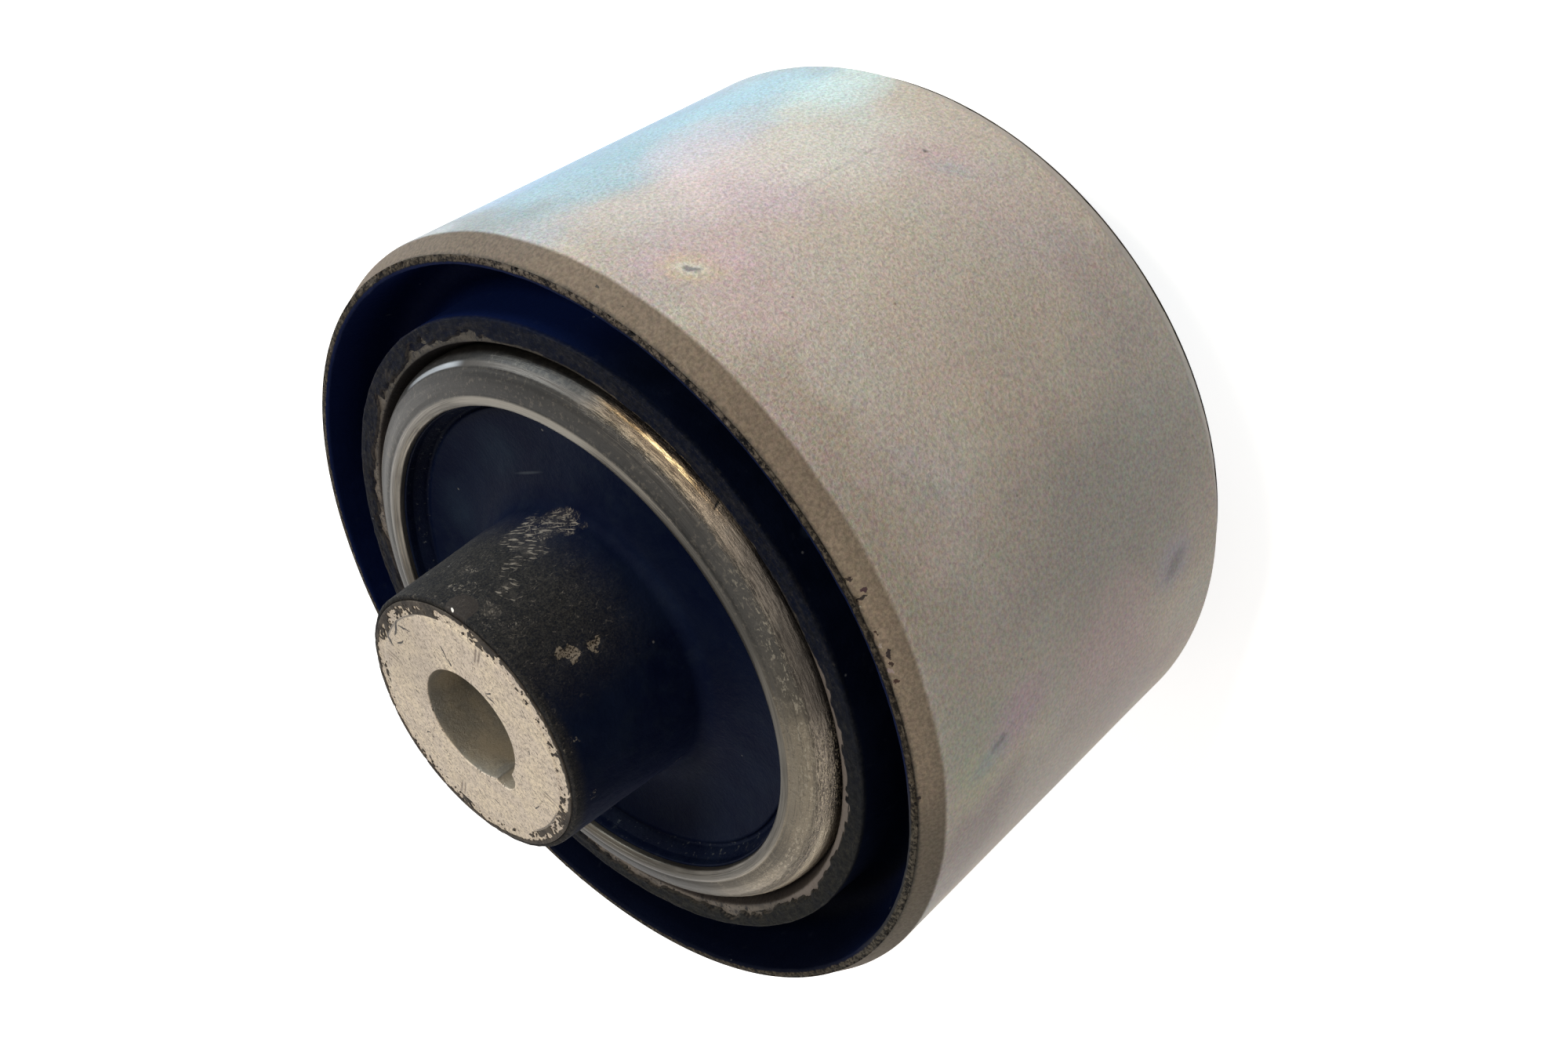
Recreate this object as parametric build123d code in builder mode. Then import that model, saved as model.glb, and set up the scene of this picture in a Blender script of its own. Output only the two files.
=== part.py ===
from build123d import *
import os

# Rubber-metal bush with a pressed-in cartridge. Its axis is Z, its origin is at
# its centre, both ends are alike, and it stands on the end of its inner sleeve.

# Steel outer sleeve
outer_diameter = 86.0
outer_length = 52.0
outer_wall = 1.9
lead_in_length = 2.5
lead_in_depth = 1.3

# Aluminium inner sleeve, bored for an M12 bolt
bore_diameter = 12.4
bore_edge = 0.25
inner_diameter = 27.5
inner_length = 83.6
inner_edge = 0.3
index_groove_radius = 1.8
index_groove_depth = 1.25

# Cartridge shell, a tube with both ends rolled inwards
shell_wall = 1.6
shell_rise = 1.8
roll_radius = 3.6
roll_width = 4.9
bead_height = 0.22
lip_edge = 0.45

# Middle ring that the cartridge is pressed into
middle_wall = 3.0
middle_recess = 0.35
mouth_width = 0.9
mouth_length = 2.2

# Rubber between the middle ring and the outer sleeve
outer_rubber_width = 6.2
sleeve_skin = 0.4
middle_skin = 0.45
end_film = 0.15
end_film_margin = 0.1
face_film = 0.25
bare_margin = 0.8
groove_depth = 9.0
groove_draft = 0.35
rubber_edge = 0.2

# Rubber between the inner sleeve and the cartridge shell
end_skin = 0.55
root_skin = 1.35
skin_setback = 0.15
root_fillet = 1.3
root_sink = 0.5
dish_sink = 1.25
dish_depth = 1.1
ring_groove_offset = 1.4
ring_groove_width = 0.6
ring_groove_depth = 0.3
lip_skin = 0.25
lip_skin_rise = 1.0

# Radii and heights that several pieces share, from the outer sleeve inwards
outer_radius = outer_diameter / 2
outer_inside = outer_radius - outer_wall
middle_radius = outer_inside - outer_rubber_width
shell_radius = middle_radius - middle_wall
shell_inside = shell_radius - shell_wall
lip_radius = shell_radius - roll_width
inner_radius = inner_diameter / 2
bore_radius = bore_diameter / 2
rim_height = outer_length / 2
inner_top = inner_length / 2
middle_top = rim_height - middle_recess
roll_centre_radius = shell_radius - roll_radius
roll_centre_height = rim_height + shell_rise - roll_radius
roll_inside = roll_radius - shell_wall
lip_under = roll_centre_height + roll_inside

os.makedirs("parts", exist_ok=True)


# Outer sleeve: a tube with a long lead-in chamfer at each end
with BuildPart() as outer_sleeve:
    with BuildSketch(Plane.XZ):
        with BuildLine():
            Polyline(
                (outer_inside, 0),
                (outer_inside, rim_height),
                (outer_radius - lead_in_depth, rim_height),
                (outer_radius, rim_height - lead_in_length),
                (outer_radius, 0),
            )
            mirror(about=Plane.XZ)
        make_face()
    revolve(axis=Axis.Z)
outer_sleeve.part.label = "outer_sleeve"


# Outer rubber: bonded ring with a deep rounded groove at each end, a skin on
# both groove walls and a film over the two steel edges
groove_outside = outer_inside - sleeve_skin
groove_inside = middle_radius + middle_skin
floor_outside = groove_outside - groove_draft
floor_inside = groove_inside + groove_draft
floor_round = (floor_outside - floor_inside) / 2
groove_floor = rim_height - groove_depth
end_film_radius = outer_radius - lead_in_depth - end_film_margin
film_inside = shell_radius + mouth_width + bare_margin

with BuildPart() as outer_rubber:
    with BuildSketch(Plane.XZ) as rubber_section:
        with BuildLine():
            Polyline(
                (outer_inside, 0),
                (outer_inside, rim_height),
                (end_film_radius, rim_height),
                (end_film_radius, rim_height + end_film),
                (groove_outside, rim_height + end_film),
                (floor_outside, groove_floor + floor_round),
            )
            ThreePointArc(
                (floor_outside, groove_floor + floor_round),
                ((floor_outside + floor_inside) / 2, groove_floor),
                (floor_inside, groove_floor + floor_round),
            )
            Polyline(
                (floor_inside, groove_floor + floor_round),
                (groove_inside, middle_top + face_film),
                (film_inside, middle_top + face_film),
                (film_inside, middle_top),
                (middle_radius, middle_top),
                (middle_radius, 0),
            )
            mirror(about=Plane.XZ)
        make_face()
        lip_corners = rubber_section.vertices().filter_by(
            lambda v: abs(v.X - groove_inside) < 1e-6 or abs(v.X - groove_outside) < 1e-6
        )
        fillet(lip_corners, radius=rubber_edge)
    revolve(axis=Axis.Z)
outer_rubber.part.label = "outer_rubber"


# Middle ring: a thick steel tube whose bore opens to a tapered mouth
with BuildPart() as middle_ring:
    with BuildSketch(Plane.XZ):
        with BuildLine():
            Polyline(
                (shell_radius, 0),
                (shell_radius, middle_top - mouth_length),
                (shell_radius + mouth_width, middle_top),
                (middle_radius, middle_top),
                (middle_radius, 0),
            )
            mirror(about=Plane.XZ)
        make_face()
    revolve(axis=Axis.Z)
middle_ring.part.label = "middle_ring"


# Cartridge shell: the tube wall turns through a quarter circle at each end
# and finishes in a raised bead round the opening
bead_crest_radius = (roll_centre_radius + lip_radius) / 2
shell_top = rim_height + shell_rise

with BuildPart() as cartridge_shell:
    with BuildSketch(Plane.XZ) as shell_section:
        with BuildLine():
            Line((shell_radius, 0), (shell_radius, roll_centre_height))
            RadiusArc(
                (shell_radius, roll_centre_height),
                (roll_centre_radius, shell_top),
                -roll_radius,
            )
            ThreePointArc(
                (roll_centre_radius, shell_top),
                (bead_crest_radius, shell_top + bead_height),
                (lip_radius, shell_top),
            )
            Polyline(
                (lip_radius, shell_top),
                (lip_radius, lip_under),
                (roll_centre_radius, lip_under),
            )
            RadiusArc(
                (roll_centre_radius, lip_under),
                (shell_inside, roll_centre_height),
                roll_inside,
            )
            Line((shell_inside, roll_centre_height), (shell_inside, 0))
            mirror(about=Plane.XZ)
        make_face()
        lip_corners = shell_section.vertices().filter_by(
            lambda v: abs(v.X - lip_radius) < 1e-6 and abs(v.Y) > lip_under + lip_edge
        )
        fillet(lip_corners, radius=lip_edge)
    revolve(axis=Axis.Z)
cartridge_shell.part.label = "cartridge_shell"


# Inner rubber: fills the cartridge, with a dished face, a small ring groove
# beside the lip and a tapered skin up the inner sleeve
root_radius = inner_radius + root_skin
root_height = rim_height - root_sink
face_radius = lip_radius - ring_groove_offset
face_height = rim_height - dish_sink
ring_groove_radius = face_radius + ring_groove_width
lip_skin_radius = lip_radius - lip_skin
skin_top = inner_top - skin_setback
dish_middle = (root_radius + face_radius) / 2

with BuildPart() as inner_rubber:
    with BuildSketch(Plane.XZ) as membrane_section:
        with BuildLine():
            Polyline(
                (inner_radius, 0),
                (inner_radius, skin_top),
                (inner_radius + end_skin, skin_top),
                (root_radius, root_height),
            )
            ThreePointArc(
                (root_radius, root_height),
                (dish_middle, (root_height + face_height) / 2 - dish_depth),
                (face_radius, face_height),
            )
            ThreePointArc(
                (face_radius, face_height),
                (face_radius + ring_groove_width / 2, face_height - ring_groove_depth),
                (ring_groove_radius, face_height),
            )
            Polyline(
                (ring_groove_radius, face_height),
                (lip_skin_radius, rim_height),
                (lip_skin_radius, rim_height + lip_skin_rise),
                (lip_radius, rim_height + lip_skin_rise),
                (lip_radius, lip_under),
                (roll_centre_radius, lip_under),
            )
            RadiusArc(
                (roll_centre_radius, lip_under),
                (shell_inside, roll_centre_height),
                roll_inside,
            )
            Line((shell_inside, roll_centre_height), (shell_inside, 0))
            mirror(about=Plane.XZ)
        make_face()
        root_corners = membrane_section.vertices().filter_by(
            lambda v: abs(v.X - root_radius) < 1e-6
        )
        fillet(root_corners, radius=root_fillet)
        skin_corners = membrane_section.vertices().filter_by(
            lambda v: abs(v.X - inner_radius - end_skin) < 1e-6
        )
        fillet(skin_corners, radius=rubber_edge)
    revolve(axis=Axis.Z)
inner_rubber.part.label = "inner_rubber"


# Inner sleeve: a thick tube with a rounded index groove along its bore at +X
index_groove_centre = bore_radius + index_groove_depth - index_groove_radius

with BuildPart() as inner_sleeve:
    with BuildSketch(Plane.XY.offset(-inner_top)):
        Circle(inner_radius)
        Circle(bore_radius, mode=Mode.SUBTRACT)
        with Locations((index_groove_centre, 0)):
            Circle(index_groove_radius, mode=Mode.SUBTRACT)
    extrude(amount=inner_length)
    end_edges = inner_sleeve.edges().filter_by(
        lambda e: abs(abs(e.center().Z) - inner_top) < 1e-6
    )
    outer_rims = end_edges.filter_by(lambda e: abs(e.radius - inner_radius) < 1e-6)
    bore_rims = end_edges.filter_by(lambda e: e.radius < inner_radius - 1e-6)
    chamfer(outer_rims, length=inner_edge)
    chamfer(bore_rims, length=bore_edge)
inner_sleeve.part.label = "inner_sleeve"


for piece in (outer_sleeve, outer_rubber, middle_ring, cartridge_shell, inner_rubber, inner_sleeve):
    export_step(piece.part, "parts/" + piece.part.label + ".step")
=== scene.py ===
import bpy
import math
import numpy as np
from mathutils import Matrix, Vector


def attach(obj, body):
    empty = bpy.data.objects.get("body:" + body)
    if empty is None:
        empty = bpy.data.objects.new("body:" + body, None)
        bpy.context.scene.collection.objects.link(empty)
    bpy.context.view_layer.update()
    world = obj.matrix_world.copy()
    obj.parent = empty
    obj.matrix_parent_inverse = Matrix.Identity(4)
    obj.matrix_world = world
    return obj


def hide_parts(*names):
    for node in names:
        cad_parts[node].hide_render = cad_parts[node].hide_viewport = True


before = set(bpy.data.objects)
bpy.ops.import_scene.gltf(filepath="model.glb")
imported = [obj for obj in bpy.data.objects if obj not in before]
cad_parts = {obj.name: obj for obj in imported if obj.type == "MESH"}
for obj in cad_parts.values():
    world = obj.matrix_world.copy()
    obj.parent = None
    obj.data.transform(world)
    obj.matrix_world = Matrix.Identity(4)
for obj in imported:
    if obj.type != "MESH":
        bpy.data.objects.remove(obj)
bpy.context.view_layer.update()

# Sizes of the bush in millimetres, the same values as in the part's source.
MM = 0.001
RIM = 26.0
OUTER_R = 43.0
OUTER_INSIDE = 41.1
CHAMFER_R = 41.7
CHAMFER_Z = 23.5
GROOVE_OUT = 40.35
GROOVE_IN = 35.70
GROOVE_FLOOR = 17.0
MIDDLE_R = 34.9
MIDDLE_TOP = 25.65
MOUTH_R = 32.8
MOUTH_Z = 23.45
SHELL_R = 31.9
SHELL_INSIDE = 30.3
SHELL_TOP = 27.8
SHELL_WALL = 1.6
ROLL_R = 3.6
ROLL_CENTRE_R = 28.3
ROLL_CENTRE_Z = 24.2
BEAD_R = 27.65
BEAD_Z = 28.02
LIP_R = 27.0
LIP_UNDER = 26.2
LIP_EDGE = 0.45
SLEEVE_R = 13.75
SLEEVE_TOP = 41.8
SKIN_R = 14.3
SKIN_TOP = 41.65
BORE_R = 6.2
KEY_CENTRE = 5.65
KEY_R = 1.8

# Sizes that only this scene has: the film's reach over the rim and the middle
# ring and its gap to their steel, where the skin up the sleeve is scuffed, and
# the seal circle on the sleeve's ends with the step outside it.
FILM_OUT = 41.72
FILM_IN = 32.95
FILM_GAP = 0.02
SCUFF_R = 14.6
SEAL_R = 12.25
SEAL_DEPTH = 0.07


def smooth_step(x):
    x = np.clip(x, 0.0, 1.0)
    return x * x * (3 - 2 * x)


def ripple(angle, cells, seed):
    """Smooth periodic noise round the axis, from -1 to 1."""
    values = np.random.default_rng(seed).uniform(-1, 1, cells)
    t = np.mod(angle, 2 * math.pi) / (2 * math.pi) * cells
    low = np.floor(t).astype(int)
    f = smooth_step(t - low)
    return values[low % cells] * (1 - f) + values[(low + 1) % cells] * f


def rough(angle, cells, seed):
    """Three octaves of ripple; each is finer and weaker than the one before."""
    total = np.zeros_like(angle)
    for octave in range(3):
        total += ripple(angle, cells * 2 ** octave, seed + octave) / 1.7 ** octave
    return total / 1.7


def patchy(angle, across, cells, pitch, seed):
    """Smooth noise over the angle and a second length, from -1 to 1."""
    rows = 64
    values = np.random.default_rng(seed).uniform(-1, 1, (rows, cells))
    t = np.mod(angle, 2 * math.pi) / (2 * math.pi) * cells
    s = np.asarray(across) / pitch + 17.3
    i, k = np.floor(t).astype(int), np.floor(s).astype(int)
    f, g = smooth_step(t - i), smooth_step(s - k)

    def row(j):
        return values[j % rows, i % cells] * (1 - f) + values[j % rows, (i + 1) % cells] * f

    return row(k) * (1 - g) + row(k + 1) * g


def bump_at(angle, centre_deg, width_deg):
    """A soft peak of height 1 at an angle."""
    d = np.abs(np.mod(np.degrees(angle) - centre_deg + 180, 360) - 180)
    return smooth_step(1 - d / width_deg)


def outline(corners, step):
    """Round the corners (r, z, radius) of a half section and divide its runs."""
    points = []
    last = len(corners) - 1
    for index, (r, z, radius) in enumerate(corners):
        here = np.array((r, z), float)
        if radius <= 0 or index in (0, last):
            points.append([here])
            continue
        before = np.array(corners[index - 1][:2], float) - here
        after = np.array(corners[index + 1][:2], float) - here
        u, v = before / np.linalg.norm(before), after / np.linalg.norm(after)
        half = math.acos(max(-1.0, min(1.0, float(u @ v)))) / 2
        reach = radius / math.tan(half)
        middle = (u + v) / np.linalg.norm(u + v) * radius / math.sin(half)
        start, end = u * reach - middle, v * reach - middle
        sweep = math.pi - 2 * half
        steps = max(2, int(round(sweep / 0.35)))
        points.append([
            here + middle
            + start * (math.sin((1 - k / steps) * sweep) / math.sin(sweep))
            + end * (math.sin(k / steps * sweep) / math.sin(sweep))
            for k in range(steps + 1)
        ])
    chain = []
    for run, following in zip(points, points[1:]):
        chain.extend(run)
        a, b = run[-1], following[0]
        divisions = max(1, int(math.ceil(float(np.linalg.norm(b - a)) / step)))
        chain.extend(a + (b - a) * k / divisions for k in range(1, divisions))
    return chain + points[-1]


def both_ends(half, step, pitch):
    """Divide the upper half of a section, thin it and mirror it to the lower end.

    Of neighbouring points only those stay that are further apart than
    pitch(r, z), so that hidden and plain walls take few triangles.
    """
    points = outline(half, step)
    kept = [points[0]]
    for point in points[1:-1]:
        if np.linalg.norm(point - kept[-1]) > pitch(*point):
            kept.append(point)
    upper = np.array(kept + [points[-1]])
    lower = upper[::-1] * (1, -1)
    return np.vstack([upper, lower[lower[:, 1] < 0]])


def arc_points(centre, radius, start_deg, end_deg, steps):
    """Corners along an arc in the half section, 0 degrees pointing outwards."""
    result = []
    for k in range(steps + 1):
        a = math.radians(start_deg + (end_deg - start_deg) * k / steps)
        result.append((centre[0] + radius * math.cos(a), centre[1] + radius * math.sin(a), 0))
    return result


def arc_through(start, middle, end, steps):
    """Corners along the arc through three points of the half section."""
    (x1, y1), (x2, y2), (x3, y3) = start, middle, end
    s1, s2, s3 = (x * x + y * y for x, y in (start, middle, end))
    d = 2 * (x1 * (y2 - y3) + x2 * (y3 - y1) + x3 * (y1 - y2))
    cx = (s1 * (y2 - y3) + s2 * (y3 - y1) + s3 * (y1 - y2)) / d
    cy = (s1 * (x3 - x2) + s2 * (x1 - x3) + s3 * (x2 - x1)) / d
    turns = [math.degrees(math.atan2(y - cy, x - cx)) for x, y in (start, end)]
    return arc_points((cx, cy), math.hypot(x1 - cx, y1 - cy), *turns, steps)


def lathe(name, section, segments, sculpt):
    """Turn a closed section about Z into a fine smooth mesh; sculpt moves its points."""
    angle = np.arange(segments) * 2 * math.pi / segments
    r, a = np.meshgrid(section[:, 0], angle, indexing="ij")
    z = np.repeat(section[:, 1][:, None], segments, axis=1)
    r, z = sculpt(r, z, a)
    points = np.stack([r * np.cos(a), r * np.sin(a), z], axis=-1).reshape(-1, 3) * MM
    rows = len(section)
    low = np.arange(rows)[:, None] * segments
    high = np.roll(low, -1, axis=0)
    j = np.arange(segments)[None, :]
    k = np.roll(j, -1)
    quads = np.stack([low + j, low + k, high + k, high + j], axis=-1).reshape(-1, 4)
    along, across = section[:, 0], section[:, 1]
    if np.sum(along * np.roll(across, -1) - np.roll(along, -1) * across) < 0:
        quads = quads[:, ::-1]
    mesh = bpy.data.meshes.new(name)
    mesh.vertices.add(len(points))
    mesh.vertices.foreach_set("co", points.astype(np.float32).ravel())
    mesh.loops.add(quads.size)
    mesh.loops.foreach_set("vertex_index", quads.astype(np.int32).ravel())
    mesh.polygons.add(len(quads))
    mesh.polygons.foreach_set("loop_start", np.arange(0, quads.size, 4, dtype=np.int32))
    mesh.polygons.foreach_set("use_smooth", np.ones(len(quads), dtype=bool))
    mesh.update(calc_edges=True)
    mesh.validate()
    piece = bpy.data.objects.new(name, mesh)
    bpy.context.collection.objects.link(piece)
    return piece


def seat(piece, material, node=None):
    piece.data.materials.append(material)
    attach(piece, "root")
    if node:
        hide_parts(node)


def join(tree, source, socket):
    """Link a socket to a socket, or set it to a value."""
    if hasattr(source, "is_output"):
        tree.links.new(source, socket)
    else:
        socket.default_value = source


def add_node(tree, kind, values=None, **settings):
    """A node with its settings; values are what its inputs take."""
    node = tree.nodes.new(kind)
    for key, value in settings.items():
        setattr(node, key, value)
    for key, value in (values or {}).items():
        join(tree, value, node.inputs[key])
    return node


class Paint:
    """One procedural material; P is the object's place in millimetres."""

    def __init__(self, name, metallic=0.0, specular=0.5):
        self.material = bpy.data.materials.new(name)
        self.material.use_nodes = True
        self.tree = self.material.node_tree
        self.shader = self.tree.nodes["Principled BSDF"]
        self.shader.inputs["Metallic"].default_value = metallic
        self.shader.inputs["Specular IOR Level"].default_value = specular
        place = self.add("ShaderNodeTexCoord").outputs["Object"]
        self.P = self.vector("SCALE", place, scale=1000.0)
        self.z = self.add("ShaderNodeSeparateXYZ", {0: self.P}).outputs[2]
        self.height = self.size(self.z)
        flat = self.vector("MULTIPLY", self.P, (1, 1, 0))
        self.radius = self.vector("LENGTH", flat)
        self.round = self.vector("NORMALIZE", flat)

    def add(self, kind, values=None, **settings):
        return add_node(self.tree, kind, values, **settings)

    def math(self, operation, *values):
        """A math node, or a chain of them for more than two values."""
        first, *others = values
        node = self.add("ShaderNodeMath", {0: first}, operation=operation)
        for index, value in enumerate(others):
            if index:
                node = self.add("ShaderNodeMath", {0: node.outputs[0]}, operation=operation)
            join(self.tree, value, node.inputs[1])
        return node.outputs[0]

    def times(self, *values):
        return self.math("MULTIPLY", *values)

    def plus(self, *values):
        return self.math("ADD", *values)

    def minus(self, a, b):
        return self.math("SUBTRACT", a, b)

    def size(self, value):
        return self.math("ABSOLUTE", value)

    def most(self, *values):
        return self.math("MAXIMUM", *values)

    def vector(self, operation, *values, scale=1.0):
        node = self.add("ShaderNodeVectorMath", dict(enumerate(values)), operation=operation)
        if operation == "SCALE":
            node.inputs["Scale"].default_value = scale
        return node.outputs["Value" if operation in ("LENGTH", "DOT_PRODUCT") else "Vector"]

    def moved(self, x, y, z):
        return self.vector("ADD", self.P, (x, y, z))

    def noise(self, scale, detail, rough, at=None, twist=0.0):
        return self.add("ShaderNodeTexNoise", {
            "Vector": self.P if at is None else at,
            "Scale": scale, "Detail": detail, "Roughness": rough, "Distortion": twist,
        }).outputs["Fac"]

    def cloud(self, scale):
        """A noise of three values, round 0.5 each."""
        values = {"Vector": self.P, "Scale": scale, "Detail": 3}
        return self.add("ShaderNodeTexNoise", values).outputs["Color"]

    def warped(self, scale, reach):
        """The place, moved about by a noise of this scale."""
        way = self.vector("SUBTRACT", self.cloud(scale), (0.5, 0.5, 0.5))
        return self.vector("ADD", self.P, self.vector("SCALE", way, scale=reach))

    def cells(self, scale, at=None):
        """The distance to the nearest of some scattered points."""
        values = {"Vector": self.P if at is None else at, "Scale": scale}
        return self.add("ShaderNodeTexVoronoi", values).outputs["Distance"]

    def drawn(self, around, across, detail, rough, twist=0.0):
        """A noise drawn out round the axis: slow round it, fast across."""
        ring = self.vector("SCALE", self.round, scale=around)
        x, y = self.add("ShaderNodeSeparateXYZ", {0: ring}).outputs[:2]
        both = self.plus(self.times(self.radius, across), self.times(self.height, -across))
        place = self.add("ShaderNodeCombineXYZ", {0: x, 1: y, 2: both}).outputs[0]
        return self.noise(1.0, detail, rough, at=place, twist=twist)

    def span(self, value, low, high, out_low=0.0, out_high=1.0, smooth=True):
        """Rise from out_low to out_high while the value goes from low to high."""
        return self.add("ShaderNodeMapRange", {
            "Value": value, "From Min": low, "From Max": high, "To Min": out_low, "To Max": out_high,
        }, interpolation_type="SMOOTHSTEP" if smooth else "LINEAR").outputs["Result"]

    def band(self, value, start, full, fade, end):
        """One from full to fade, and nothing outside start and end."""
        return self.times(self.span(value, start, full), self.span(value, end, fade))

    def mapped(self, at, kind, place=(0, 0, 0), turn=(0, 0, 0), sizes=(1, 1, 1)):
        """Coordinates moved, turned by degrees and scaled."""
        turn = [math.radians(degrees) for degrees in turn]
        values = {"Vector": at, "Location": place, "Rotation": turn, "Scale": sizes}
        return self.add("ShaderNodeMapping", values, vector_type=kind).outputs[0]

    def local(self, angle, tilt, stretch):
        """Coordinates on the wall at an angle, turned by tilt and stretched."""
        return self.vector("MULTIPLY", self.mapped(self.P, "TEXTURE", turn=(tilt, 0, angle)), stretch)

    def spot(self, angle, radius, z, sizes, at=None, tilt=0.0, spin=None):
        """A soft patch at a place on the bush; sizes are radial, round and along."""
        a = math.radians(angle)
        place = (radius * math.cos(a), radius * math.sin(a), z)
        turn = (tilt, 0, angle if spin is None else spin)
        inside = self.mapped(self.P if at is None else at, "TEXTURE", place, turn, sizes)
        ball = self.add("ShaderNodeTexGradient", {0: inside}, gradient_type="SPHERICAL")
        return self.span(ball.outputs["Fac"], 0.0, 0.8)

    def facing(self, azimuth, edge, full):
        """One within `full` degrees of an azimuth, fading to nothing at `edge`."""
        a = math.radians(azimuth)
        dot = self.vector("DOT_PRODUCT", self.round, (math.cos(a), math.sin(a), 0))
        return self.span(dot, math.cos(math.radians(edge)), math.cos(math.radians(full)))

    def ramp(self, value, stops):
        node = self.add("ShaderNodeValToRGB", {0: value})
        elements = node.color_ramp.elements
        while len(elements) < len(stops):
            elements.new(0.5)
        for element, (place, colour) in zip(elements, stops):
            element.position = place
            element.color = (*colour, 1.0)
        return node.outputs["Color"]

    def mix(self, factor, a, b, mode="MIX"):
        a, b = (x if hasattr(x, "is_output") else (*x, 1.0) for x in (a, b))
        values = {"Factor": factor, "A": a, "B": b}
        return self.add("ShaderNodeMix", values, data_type="RGBA", blend_type=mode).outputs["Result"]

    def lay(self, colour, layers):
        """Lay tones over a colour; a layer is (amount, tone, mask, ...)."""
        for amount, tone, *masks in layers:
            colour = self.mix(self.times(*masks, amount), colour, tone)
        return colour

    def shade(self, colour, value):
        """A colour times a value."""
        grey = self.add("ShaderNodeCombineColor", {0: value, 1: value, 2: value}).outputs[0]
        return self.mix(1.0, colour, grey, mode="MULTIPLY")

    def blend(self, factor, a, b):
        values = {"Factor": factor, "A": a, "B": b}
        return self.add("ShaderNodeMix", values, data_type="FLOAT").outputs["Result"]

    def finish(self, colour, roughness, heights, metallic=None):
        """heights are (value, depth in mm) pairs, laid one over the other."""
        join(self.tree, colour, self.shader.inputs["Base Color"])
        join(self.tree, roughness, self.shader.inputs["Roughness"])
        if metallic is not None:
            join(self.tree, metallic, self.shader.inputs["Metallic"])
        normal = None
        for value, depth in heights:
            values = {"Strength": 1.0, "Distance": depth * MM, "Height": value}
            if normal is not None:
                values["Normal"] = normal
            normal = self.add("ShaderNodeBump", values).outputs[0]
        join(self.tree, normal, self.shader.inputs["Normal"])
        return self.material


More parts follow.
